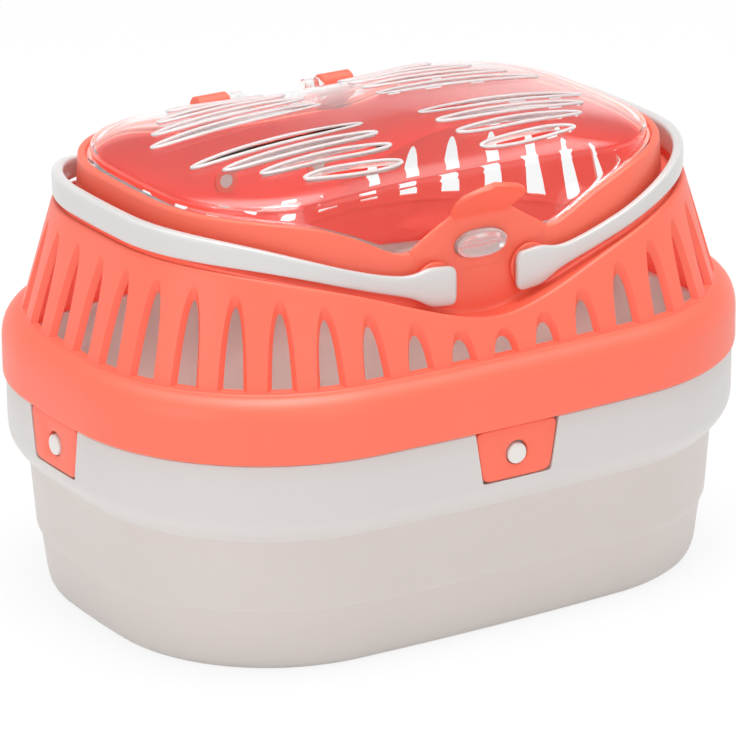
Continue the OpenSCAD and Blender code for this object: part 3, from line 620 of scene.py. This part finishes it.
# Stations from the front pad to the middle of the end, close together where the pad is round
path = []
s = PAD_START
while s < QUARTER:
    path.append(s)
    edge = s - PAD_START
    s += 0.35 if edge < 1.6 else (1.0 if edge < 10 else (2.2 if edge < 40 else 3.6))
path = path + [QUARTER] + [2 * QUARTER - p for p in path[::-1]]
for name, sign in (("handle_left", -1), ("handle_right", 1)):
    loops = []
    for s in path:
        x, y, nx, ny, _r = outline_at(s)
        hx = abs(x - HANDLE_T * nx)
        low = arm_low(hx) - 4.6 * end_blend(hx)
        high = arm_low(hx) + arm_height(hx) + 4.3 * end_blend(hx)
        mid, half = (low + high) / 2, (high - low) / 2
        edge = max(0.0, hx - PAD_START)
        round_off = (1 - (1 - min(1, (edge + 0.03) / PAD_ROUND)) ** 2.4) ** (1 / 2.4)
        half = half - PAD_ROUND * (1 - round_off)
        thick = HANDLE_THICK + GRIP_EXTRA * nx * nx
        thin = 1 - 0.5 * (1 - min(1, (edge + 0.02) / 1.2)) ** 2
        t_mid = HANDLE_T + thick / 2
        loop = []
        for q in range(BAND_SIDES):
            a = 2 * math.pi * (q + 0.5) / BAND_SIDES
            t = t_mid + power_curve(math.cos(a), BAND_POWER) * thick / 2 * thin
            dz = power_curve(math.sin(a), BAND_POWER) * half
            loop.append((sign * (x - t * nx), y - t * ny, mid + dz))
        loops.append(loop)
    bail = skin(name + "_bail", loops, smooth=60)
    bail.data.materials.append(white)
    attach(bail, name)
    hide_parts(name)
    for sy in (-1, 1):
        pin = turned(
            f"{name}_pin_{sy}", [(PIN_R, -6.5), (PIN_R, 0.6)],
            (sign * PIVOT_X, sy * (HALF_W - HANDLE_T - HANDLE_THICK), PIVOT_Z), (0, sy, 0), 32,
        )
        pin.data.materials.append(white)
        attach(pin, name)

# ---------------------------------------------------------------- Lid
# The lid is moulded in clear polystyrene: a low dome with sixteen air slots, sloping sides
# that dip to a flange inside the collar's lip, and an oval button on a tongue for the latch.
clear = bpy.data.materials.new("clear_polystyrene")
clear.use_nodes = True
nt = clear.node_tree
bsdf = nt.nodes["Principled BSDF"]
bsdf.inputs["Base Color"].default_value = (0.985, 0.99, 0.99, 1)
bsdf.inputs["Transmission Weight"].default_value = 1.0
bsdf.inputs["Roughness"].default_value = 0.02
bsdf.inputs["IOR"].default_value = 1.1
bsdf.inputs["Coat Weight"].default_value = 1.0
bsdf.inputs["Coat Roughness"].default_value = 0.02
coords = nt.nodes.new("ShaderNodeTexCoord")
ripple = nt.nodes.new("ShaderNodeTexNoise")
ripple.inputs["Scale"].default_value = 26
ripple.inputs["Detail"].default_value = 1
nt.links.new(coords.outputs["Object"], ripple.inputs["Vector"])
bump = nt.nodes.new("ShaderNodeBump")
bump.inputs["Strength"].default_value = 0.03
bump.inputs["Distance"].default_value = 0.001
nt.links.new(ripple.outputs["Fac"], bump.inputs["Height"])
nt.links.new(bump.outputs["Normal"], bsdf.inputs["Normal"])
# Lamps reach through the clear wall, as they do through the real one
through = nt.nodes.new("ShaderNodeBsdfTransparent")
through.inputs["Color"].default_value = (1, 1, 1, 1)
rays = nt.nodes.new("ShaderNodeLightPath")
pane = nt.nodes.new("ShaderNodeMixShader")
nt.links.new(rays.outputs["Is Shadow Ray"], pane.inputs["Fac"])
nt.links.new(bsdf.outputs["BSDF"], pane.inputs[1])
nt.links.new(through.outputs["BSDF"], pane.inputs[2])
nt.links.new(pane.outputs["Shader"], nt.nodes["Material Output"].inputs["Surface"])
LID_WALL, CREASE_Z, DOME_RISE = 2.0, LIP_Z + 24.4, 9.5
LID_GAP = 0.35
LID_STATIONS = 360
DOME_STEPS = (0.02, 0.15, 0.3, 0.45, 0.6, 0.72, 0.82, 0.9, 0.95)


def crease_t(s):
    """Inset of the crease between the dome and the sloping sides."""
    return COLLAR_T + 6.5 + 11.3 * math.exp(-((handle_x(s) / 70) ** 3))


def dome_point(s, f, drop):
    """Point of the dome, f of the way out from its middle."""
    x, y, _z = in_collar(s, crease_t(s), 0)
    return (f * x, f * y, CREASE_Z + DOME_RISE * (1 - f ** 3) - drop)


lid_stations = [4 * QUARTER * k / LID_STATIONS for k in range(LID_STATIONS)]


def flange(t, dz):
    return [in_collar(s, t, lip_top(s) + dz) for s in lid_stations]


def crease(extra, drop):
    return [in_collar(s, crease_t(s) + extra, CREASE_Z - drop) for s in lid_stations]


def dome(f, drop):
    return [dome_point(s, f, drop) for s in lid_stations]


def blends(a, b):
    """Rings between two others, close to both ends, so that the flat between them shades flat."""
    return [
        [tuple(u + (v - u) * f for u, v in zip(p, q)) for p, q in zip(a, b)]
        for f in (0.04, 0.2, 0.5, 0.8, 0.96)
    ]


FLANGE_T = LIP_T + 0.2 + LID_GAP
rings = [dome(f, LID_WALL) for f in DOME_STEPS]
rings += [crease(2.3, 2.5), crease(2.2, 4.0)]
rings += blends(crease(2.2, 4.0), flange(LEDGE_T + 0.4, -0.5))
rings += [flange(LEDGE_T + 0.4, -0.5), flange(LEDGE_T + 0.1, -1.2),
          flange(LEDGE_T - 0.2, LID_GAP - 2.2), flange(FLANGE_T, LID_GAP - 2.2),
          flange(FLANGE_T, -0.7), flange(LIP_T + 0.8, -0.2), flange(LIP_T + 1.3, 0.1),
          flange(LIP_T + 1.9, 0.6)]
rings += blends(flange(LIP_T + 1.9, 0.6), crease(-0.55, 2.2))
rings += [crease(-0.55, 2.2), crease(-0.4, 1.3), crease(-0.05, 0.6), crease(0.5, 0.18),
          crease(1.4, -0.25)]
rings += [dome(f, 0) for f in DOME_STEPS[::-1]]
lid = skin("lid_shell", rings, smooth=40)

# Air slots: spindles that run along the lid, each with a raised round rim. Each row is
# given as the slot's y and its two ends' x, and is repeated in all four quarters.
VENT_ROWS = ((16.0, 14.0, 92.0), (28.3, 14.5, 84.5), (41.0, 16.0, 75.0), (54.0, 19.0, 63.0))
VENT_HALF, RIM_PATH_HALF = 2.9, 3.3
RIM_W, RIM_H, RIM_SIDES = 1.0, 0.7, 10
VENT_POINTS = 40
dome_limits = {}


def dome_height(x, y):
    """Height of the dome's outer face over (x, y)."""
    a = math.atan2(y, x)
    key = round(a, 3)
    if key not in dome_limits:
        low, high = 0.0, 4 * QUARTER
        target = (a + math.pi / 2) % (2 * math.pi)
        for _ in range(40):
            s = (low + high) / 2
            px, py, _z = in_collar(s, crease_t(s), 0)
            b = (math.atan2(py, px) + math.pi / 2) % (2 * math.pi)
            if b < target:
                low = s
            else:
                high = s
        dome_limits[key] = math.hypot(px, py)
    f = min(1.0, math.hypot(x, y) / dome_limits[key])
    return CREASE_Z + DOME_RISE * (1 - f ** 3)


def spindle(x0, x1, y, half):
    mid, long = (x0 + x1) / 2, abs(x1 - x0) / 2
    turns = [2 * math.pi * k / VENT_POINTS for k in range(VENT_POINTS)]
    return [
        (mid + power_curve(math.cos(a), 0.8) * long, y + math.sin(a) * half) for a in turns
    ]


rims, verts, faces = [], [], []
for row_y, x0, x1 in VENT_ROWS:
    for sx in (-1, 1):
        for sy in (-1, 1):
            shape = spindle(sx * x0, sx * x1, sy * row_y, VENT_HALF)
            faces += prism_faces(VENT_POINTS, len(verts))
            verts += [(x, y, z) for z in (CREASE_Z - 8, CREASE_Z + 20) for x, y in shape]
            ring_path = spindle(sx * x0, sx * x1, sy * row_y, RIM_PATH_HALF)
            loops = []
            for i, (px, py) in enumerate(ring_path):
                ax, ay = ring_path[i - 1]
                bx, by = ring_path[(i + 1) % VENT_POINTS]
                length = math.hypot(bx - ax, by - ay)
                tx, ty = (bx - ax) / length, (by - ay) / length
                z = dome_height(px, py) + 0.05
                turns = [2 * math.pi * (q + 0.5) / RIM_SIDES for q in range(RIM_SIDES)]
                loops.append([
                    (px + ty * RIM_W * math.cos(a), py - tx * RIM_W * math.cos(a),
                     min(z + RIM_H * math.sin(a), CREASE_Z + DOME_RISE))
                    for a in turns
                ])
            rims.append(skin(f"rim_{len(rims)}", loops, joined=True, smooth=80))
carve(lid, solid("slots_tool", verts, faces))
lid.data.set_sharp_from_angle(angle=math.radians(40))

# The rims and the button are given a whiter, rougher and less clear plastic than the polished lid:
# painted highlight for the white glints on their rounded edges
rim_clear = plastic("clear_rims_painted_highlight", (0.98, 0.95, 0.95), 0.16, 0.02)
rim_clear.node_tree.nodes["Principled BSDF"].inputs["Transmission Weight"].default_value = 0.45
button_clear = plastic("clear_button_painted_highlight", (1.0, 0.93, 0.92), 0.12, 0.02)
button_clear.node_tree.nodes["Principled BSDF"].inputs["Transmission Weight"].default_value = 0.78

# Tongue and oval button
BUTTON_Z, BUTTON_HALF_W, BUTTON_HALF_H = LIP_Z - 0.9, 11.6, 5.5
OVAL_POINTS, OVAL_POWER = 56, 2 / 2.3
FLAP_T = 2.4
TONGUE_HALF_W = 13.5
tongue_y = -HALF_W + COLLAR_T + COLLAR_LEAN + FLAP_T + LID_GAP


def oval(half_w, half_h):
    turns = [2 * math.pi * k / OVAL_POINTS for k in range(OVAL_POINTS)]
    return [
        (power_curve(math.cos(a), OVAL_POWER) * half_w,
         power_curve(math.sin(a), OVAL_POWER) * half_h) for a in turns
    ]


loops = []
for dy, g in ((2.2, 0.0), (-4.2, 0.0), (-4.7, -0.15), (-5.0, -0.5), (-5.1, -1.1), (-4.7, -1.9),
              (-4.6, -4.8)):
    edge = oval(BUTTON_HALF_W + g, BUTTON_HALF_H + g)
    loops.append([(x, tongue_y + dy, BUTTON_Z + z) for x, z in edge])
button = skin("lid_button", loops, smooth=60)
loops = []
for dy, g in ((2.6, -0.4), (2.3, 0), (0.3, 0), (0, -0.4)):
    y = tongue_y + dy
    w, lo, hi = TONGUE_HALF_W + g, BUTTON_Z - 7.1 - g, BUTTON_Z + 7.0 + g
    loops.append([(-w, y, lo + 2), (-w + 2, y, lo), (w - 2, y, lo), (w, y, lo + 2),
                  (w, y, hi), (-w, y, hi)])
tongue = skin("lid_tongue", loops, smooth=30)
for piece in [lid, button, tongue] + rims:
    piece.data.materials.clear()
    piece.data.materials.append(
        clear if piece in (lid, tongue) else button_clear if piece == button else rim_clear
    )
    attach(piece, "lid")
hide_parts("lid")
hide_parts("lid_button")

# ---------------------------------------------------------------- Lid hinge
# Two coral lugs stand on the back of the collar. Clear knuckles on the lid carry pins that
# snap into the lugs' bores.
HINGE_Y, HINGE_Z = HALF_W - 33.5, LIP_Z + 20.5
LUG_R, LUG_W, LUG_X, LUG_ROUND = 5.0, 15.0, 30.0, 0.5
KNUCKLE_L, KNUCKLE_GAP = 7.4, 0.35
knuckle_shape = [(3.6, 0), (4.1, 0.5), (4.1, 6.9), (3.6, KNUCKLE_L), (2.5, 7.5),
                 (2.5, KNUCKLE_L + LUG_W), (2.0, 7.75 + LUG_W)]
# The lug's outline: round the bore, then down to the collar's lip
lip_back = LIP_Z + BACK_RISE
turns = [math.radians(-12 + k * 9.6) for k in range(25)]
outline = [(HINGE_Y + LUG_R * math.cos(a), HINGE_Z + LUG_R * math.sin(a)) for a in turns]
outline += [(78.8, lip_back + 0.3), (81.2, lip_back + 0.3)]
for sign in (-1, 1):
    loops = []
    for dx, g in ((-LUG_W / 2, LUG_ROUND), (-LUG_W / 2 + LUG_ROUND, 0),
                  (LUG_W / 2 - LUG_ROUND, 0), (LUG_W / 2, LUG_ROUND)):
        ring = []
        for y, z in outline:
            if z > lip_back + 1:
                y += (HINGE_Y - y) * g / LUG_R
                z += (HINGE_Z - z) * g / LUG_R
            ring.append((sign * LUG_X + dx, y, z))
        loops.append(ring)
    lug = skin(f"hinge_lug_{sign}", loops, smooth=38)
    lug.data.materials.append(coral)
    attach(lug, "cage")
    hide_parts("hinge_lugs")
    start_x = LUG_X - LUG_W / 2 - KNUCKLE_GAP - KNUCKLE_L
    start = (sign * start_x, HINGE_Y, HINGE_Z)
    knuckle = turned(f"lid_knuckle_{sign}", knuckle_shape, start, (sign, 0, 0), 40, 40)
    loops = []
    for dx in (0.4, 7.0):
        x = sign * (start_x + dx)
        loops.append([(x, 71.9, HINGE_Z - 3.4), (x, HINGE_Y - 1, HINGE_Z - 3.9),
                      (x, HINGE_Y - 1, HINGE_Z + 3.9), (x, 66.3, HINGE_Z + 1.6)])
    web = skin(f"lid_knuckle_web_{sign}", loops, smooth=30)
    for piece in (knuckle, web):
        piece.data.materials.append(clear)
        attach(piece, "lid")
    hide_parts("lid_hinge_pins")

# ---------------------------------------------------------------- Latch flap
# The flap is part of the coral moulding, thin at its root so that it bends. Its oval hole
# snaps over the lid's button, and the curled lip on top is for the thumb.
flap_coral = plastic("flap_polypropylene", (0.955, 0.16, 0.095), 0.38, 0.05,
                     tint=(0.945, 0.15, 0.088))
FLAP_FRONT = -HALF_W + COLLAR_T + COLLAR_LEAN
FLAP_TOP = ROOT_Z + 23.9
THUMB_Z = FLAP_TOP - 3.4
THUMB_TOP = THUMB_Z + 20.3
FLAP_ROOT_HALF, FLAP_HALF, NECK_HALF, THUMB_SWELL = 12.6, 32.0, 13.6, 2.9
LEAN = math.radians(38)
BEND_Z, BEND_L, BEND_STEPS = THUMB_Z - 3, 7.0, 24
FLAP_COLS = 28


def flap_half(z):
    """Half width of the flap at height z, as it would be if the thumb lip were straight up."""
    if z < WING_Z:
        return FLAP_ROOT_HALF
    if z < LIP_Z:
        return FLAP_HALF
    if z < FLAP_TOP:
        u = (z - LIP_Z) / (FLAP_TOP - LIP_Z)
        e = u * u * (3 - 2 * u)
        return FLAP_HALF + (NECK_HALF - FLAP_HALF) * (0.55 * u + 0.45 * e)
    u = (z - FLAP_TOP) / (THUMB_TOP - FLAP_TOP)
    swell = NECK_HALF + THUMB_SWELL * (1 - (1 - min(1, u / 0.55)) ** 2)
    cap = max(0.0, (u - 0.42) / 0.58)
    return swell * max(0.02, 1 - cap ** 2.6) ** (1 / 2.3)


def flap_place(z):
    """Centre of the flap's section z mm along the flap, and how far it leans forward."""
    y = FLAP_FRONT + FLAP_T / 2
    if z < BEND_Z:
        return y, z, 0.0
    d = z - BEND_Z
    h = BEND_Z
    for k in range(BEND_STEPS):
        b = min(LEAN, LEAN * (d * (k + 0.5) / BEND_STEPS) / BEND_L)
        y -= math.sin(b) * d / BEND_STEPS
        h += math.cos(b) * d / BEND_STEPS
    return y, h, min(LEAN, LEAN * d / BEND_L)


heights = [ROOT_Z + 0.1, ROOT_Z + 3, WING_Z - 0.01, WING_Z + 0.01, LIP_Z - 0.8, LIP_Z, LIP_Z + 0.01]
heights += [LIP_Z + (FLAP_TOP - LIP_Z) * k / 14 for k in range(1, 15)]
heights += [FLAP_TOP + (THUMB_TOP - FLAP_TOP) * (1 - (1 - k / 16) ** 1.7) for k in range(1, 17)]
loops = []
for z in heights:
    y, h, a = flap_place(z)
    w = flap_half(z)
    thick = FLAP_T * (1 if z < THUMB_Z else 0.92)
    front, back = [], []
    for i in range(FLAP_COLS + 1):
        f = -1 + 2 * i / FLAP_COLS
        edge = min(1.0, (1 - abs(f)) * w / 0.9)
        depth = thick / 2 * (0.45 + 0.55 * math.sqrt(max(0.0, 1 - (1 - edge) ** 2)))
        curl = 0.0 if z < FLAP_TOP else -1.3 * (f * f) * min(1, (z - FLAP_TOP) / 10)
        front.append((f * w, y - (depth - curl) * math.cos(a), h - (depth - curl) * math.sin(a)))
        back.append((f * w, y + (depth + curl) * math.cos(a), h + (depth + curl) * math.sin(a)))
    loops.append(front + back[::-1])
flap = skin("latch_flap_moulding", loops, smooth=50)
hole = oval(BUTTON_HALF_W + 0.4, BUTTON_HALF_H + 0.4)
verts = [(x, y, BUTTON_Z + z) for y in (FLAP_FRONT - 4, FLAP_FRONT + 6) for x, z in hole]
carve(flap, solid("hole_tool", verts, prism_faces(OVAL_POINTS)))
flap.data.set_sharp_from_angle(angle=math.radians(45))
flap.data.materials.clear()
flap.data.materials.append(flap_coral)
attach(flap, "latch_flap")
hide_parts("latch_flap", "thumb_lip")

# ---------------------------------------------------------------- Side clips
# Four tapered tabs hang from the skirt, one on each side. Each bends at its root, and its
# round hole snaps over a peg of the tub.
CLIP_POINTS, CLIP_POWER = 64, 2 / 9.0
CLIP_OUT, CLIP_IN = 1.8, 4.2
HOLE_R, HOLE_Z = 5.0, PEG_Z + 0.4
clip_low, clip_high = SEAT_Z - TAB_H, SEAT_Z - 0.05
clip_mid, clip_half = (clip_low + clip_high) / 2, (clip_high - clip_low) / 2
turns = [2 * math.pi * k / CLIP_POINTS for k in range(CLIP_POINTS)]
rim_pts = []
for a in turns:
    u, v = power_curve(math.cos(a), CLIP_POWER), power_curve(math.sin(a), CLIP_POWER)
    rim_pts.append((u * (TAB_TIP + (TAB_HALF - TAB_TIP) * ((v + 1) / 2)), clip_mid + v * clip_half))
# Rings of the hole and of the rim, from the inner face to the rounded outer one
holes, outsides = [], []
for t, g, hole_g in ((CLIP_IN, 0, 0), (CLIP_OUT + 0.45, 0, 0), (CLIP_OUT + 0.12, -0.22, 0.2),
                     (CLIP_OUT, -0.6, 0.5)):
    outsides.append([
        (x * (1 + g / 17), t, clip_mid + (z - clip_mid) * (1 + g / 11)) for x, z in rim_pts
    ])
    wide = 1 + hole_g / HOLE_R
    holes.append([
        (HOLE_R * math.cos(a) * wide, t, HOLE_Z + HOLE_R * math.sin(a) * wide) for a in turns
    ])
for side, name in enumerate(("tab_front", "tab_right", "tab_back", "tab_left")):
    out = HALF_W if side % 2 == 0 else HALF_L
    turn = Matrix.Rotation(math.radians(90 * side), 3, "Z")
    loops = [
        [tuple(turn @ Vector((x, -out + t, z))) for x, t, z in ring]
        for ring in holes + outsides[::-1]
    ]
    tab = skin(name + "_clip", loops, joined=True, smooth=40)
    tab.data.materials.append(flap_coral)
    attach(tab, name)
    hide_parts(name)

# ---------------------------------------------------------------- Studio
# A white sweep, soft light from the front and above, and the photograph's camera.
REACH = 6.0
floor_mesh = bpy.data.meshes.new("studio_floor")
floor_mesh.from_pydata(
    [(-REACH, -REACH, 0), (REACH, -REACH, 0), (REACH, REACH, 0), (-REACH, REACH, 0)],
    [], [(0, 1, 2, 3)],
)
floor = bpy.data.objects.new("studio_floor", floor_mesh)
floor.location.z = -0.0002
bpy.context.scene.collection.objects.link(floor)


def seen_rays(nt):
    """The light path node, and a value that is 1 for camera, transmission and glossy rays."""
    rays = nt.nodes.new("ShaderNodeLightPath")
    seen = rays.outputs["Is Camera Ray"]
    for kind in ("Is Transmission Ray", "Is Glossy Ray"):
        either = nt.nodes.new("ShaderNodeMath")
        either.operation = "MAXIMUM"
        nt.links.new(seen, either.inputs[0])
        nt.links.new(rays.outputs[kind], either.inputs[1])
        seen = either.outputs[0]
    return rays, seen


# The paper shows white, but keeps a share of the object's shadow
FLOOR_GLOW = 0.85
paper = bpy.data.materials.new("white_paper")
paper.use_nodes = True
nt = paper.node_tree
bsdf = nt.nodes["Principled BSDF"]
bsdf.inputs["Base Color"].default_value = (0.96, 0.96, 0.96, 1)
bsdf.inputs["Roughness"].default_value = 0.9
_rays, seen = seen_rays(nt)
glow = nt.nodes.new("ShaderNodeEmission")
glow.inputs["Color"].default_value = (1, 1, 1, 1)
glow.inputs["Strength"].default_value = 1.0
mix = nt.nodes.new("ShaderNodeMixShader")
share = nt.nodes.new("ShaderNodeMath")
share.operation = "MULTIPLY"
share.inputs[1].default_value = FLOOR_GLOW
nt.links.new(seen, share.inputs[0])
nt.links.new(share.outputs[0], mix.inputs["Fac"])
nt.links.new(bsdf.outputs["BSDF"], mix.inputs[1])
nt.links.new(glow.outputs["Emission"], mix.inputs[2])
nt.links.new(mix.outputs["Shader"], nt.nodes["Material Output"].inputs["Surface"])
floor_mesh.materials.append(paper)

FILL_LIGHT, CEILING_GAIN, SWEEP = 0.66, 3.0, 0.33
world = bpy.data.worlds.new("studio")
bpy.context.scene.world = world
world.use_nodes = True
nt = world.node_tree
back = nt.nodes["Background"]
back.inputs["Color"].default_value = (1, 1, 1, 1)
rays, seen = seen_rays(nt)
level = nt.nodes.new("ShaderNodeMapRange")
level.inputs["To Min"].default_value = FILL_LIGHT
level.inputs["To Max"].default_value = 1.0
nt.links.new(seen, level.inputs["Value"])
# What polished faces mirror: a bright sweep low down, a dim wall, and a bright ceiling
coords = nt.nodes.new("ShaderNodeTexCoord")
parts = nt.nodes.new("ShaderNodeSeparateXYZ")
nt.links.new(coords.outputs["Generated"], parts.inputs["Vector"])
ceiling = nt.nodes.new("ShaderNodeValToRGB")
ceiling.color_ramp.interpolation = "EASE"
for place, shade in ((0.12, SWEEP), (0.2, 0.3), (0.36, 0.1), (0.7, 0.1), (0.86, 1.0)):
    ceiling.color_ramp.elements.new(place).color = (shade, shade, shade, 1)
ceiling.color_ramp.elements[0].color = (SWEEP, SWEEP, SWEEP, 1)
ceiling.color_ramp.elements[-1].color = (1, 1, 1, 1)
nt.links.new(parts.outputs["Z"], ceiling.inputs["Fac"])
gain = nt.nodes.new("ShaderNodeMath")
gain.operation = "MULTIPLY"
gain.inputs[1].default_value = CEILING_GAIN
nt.links.new(ceiling.outputs["Color"], gain.inputs[0])
mirrored = nt.nodes.new("ShaderNodeMix")
nt.links.new(rays.outputs["Is Glossy Ray"], mirrored.inputs["Factor"])
nt.links.new(level.outputs["Result"], mirrored.inputs["A"])
nt.links.new(gain.outputs[0], mirrored.inputs["B"])
nt.links.new(mirrored.outputs["Result"], back.inputs["Strength"])


def softbox(name, place, aim, size, watts):
    lamp = bpy.data.lights.new(name, "AREA")
    lamp.shape = "RECTANGLE"
    lamp.size, lamp.size_y = size
    lamp.energy = watts
    obj = bpy.data.objects.new(name, lamp)
    obj.location = place
    obj.rotation_euler = (Vector(aim) - Vector(place)).to_track_quat("-Z", "Y").to_euler()
    bpy.context.scene.collection.objects.link(obj)


softbox("key_box", (-0.1, -1.35, 0.8), (0, 0, 0.1), (0.9, 0.7), 2.4)
softbox("left_box", (-1.4, -0.35, 0.6), (0, 0, 0.1), (0.9, 0.7), 3.2)
softbox("top_box", (0.0, -0.1, 1.6), (0, 0, 0.15), (0.8, 0.8), 14)

# The camera is fitted to the photograph. Lengths are in mm and the focal length is in pixels.
YAW, PITCH_UP, ROLL, DIST = -0.5538, 0.3448, -0.0089, 1957.25
AIM_Z, SHIFT_RIGHT, SHIFT_UP = 90, 1.468, 5.9215
FOCAL, PHOTO_W, SENSOR = 4755.09, 736, 36
level_cos = math.cos(PITCH_UP)
backward = Vector((math.sin(YAW) * level_cos, -math.cos(YAW) * level_cos, math.sin(PITCH_UP)))
right = Vector((math.cos(YAW), math.sin(YAW), 0))
up = backward.cross(right)
cam_right = right * math.cos(ROLL) + up * math.sin(ROLL)
cam_up = up * math.cos(ROLL) - right * math.sin(ROLL)
spot = Vector((0, 0, AIM_Z)) + backward * DIST - cam_right * SHIFT_RIGHT - cam_up * SHIFT_UP
camera = bpy.data.cameras.new("photo_camera")
camera.sensor_width = SENSOR
camera.lens = FOCAL / PHOTO_W * SENSOR
camera.clip_end = 20
cam = bpy.data.objects.new("photo_camera", camera)
cam.matrix_world = Matrix((
    (cam_right.x, cam_up.x, backward.x, spot.x / 1000),
    (cam_right.y, cam_up.y, backward.y, spot.y / 1000),
    (cam_right.z, cam_up.z, backward.z, spot.z / 1000),
    (0, 0, 0, 1),
))
bpy.context.scene.collection.objects.link(cam)
bpy.context.scene.camera = cam
bpy.context.scene.view_settings.view_transform = "Standard"
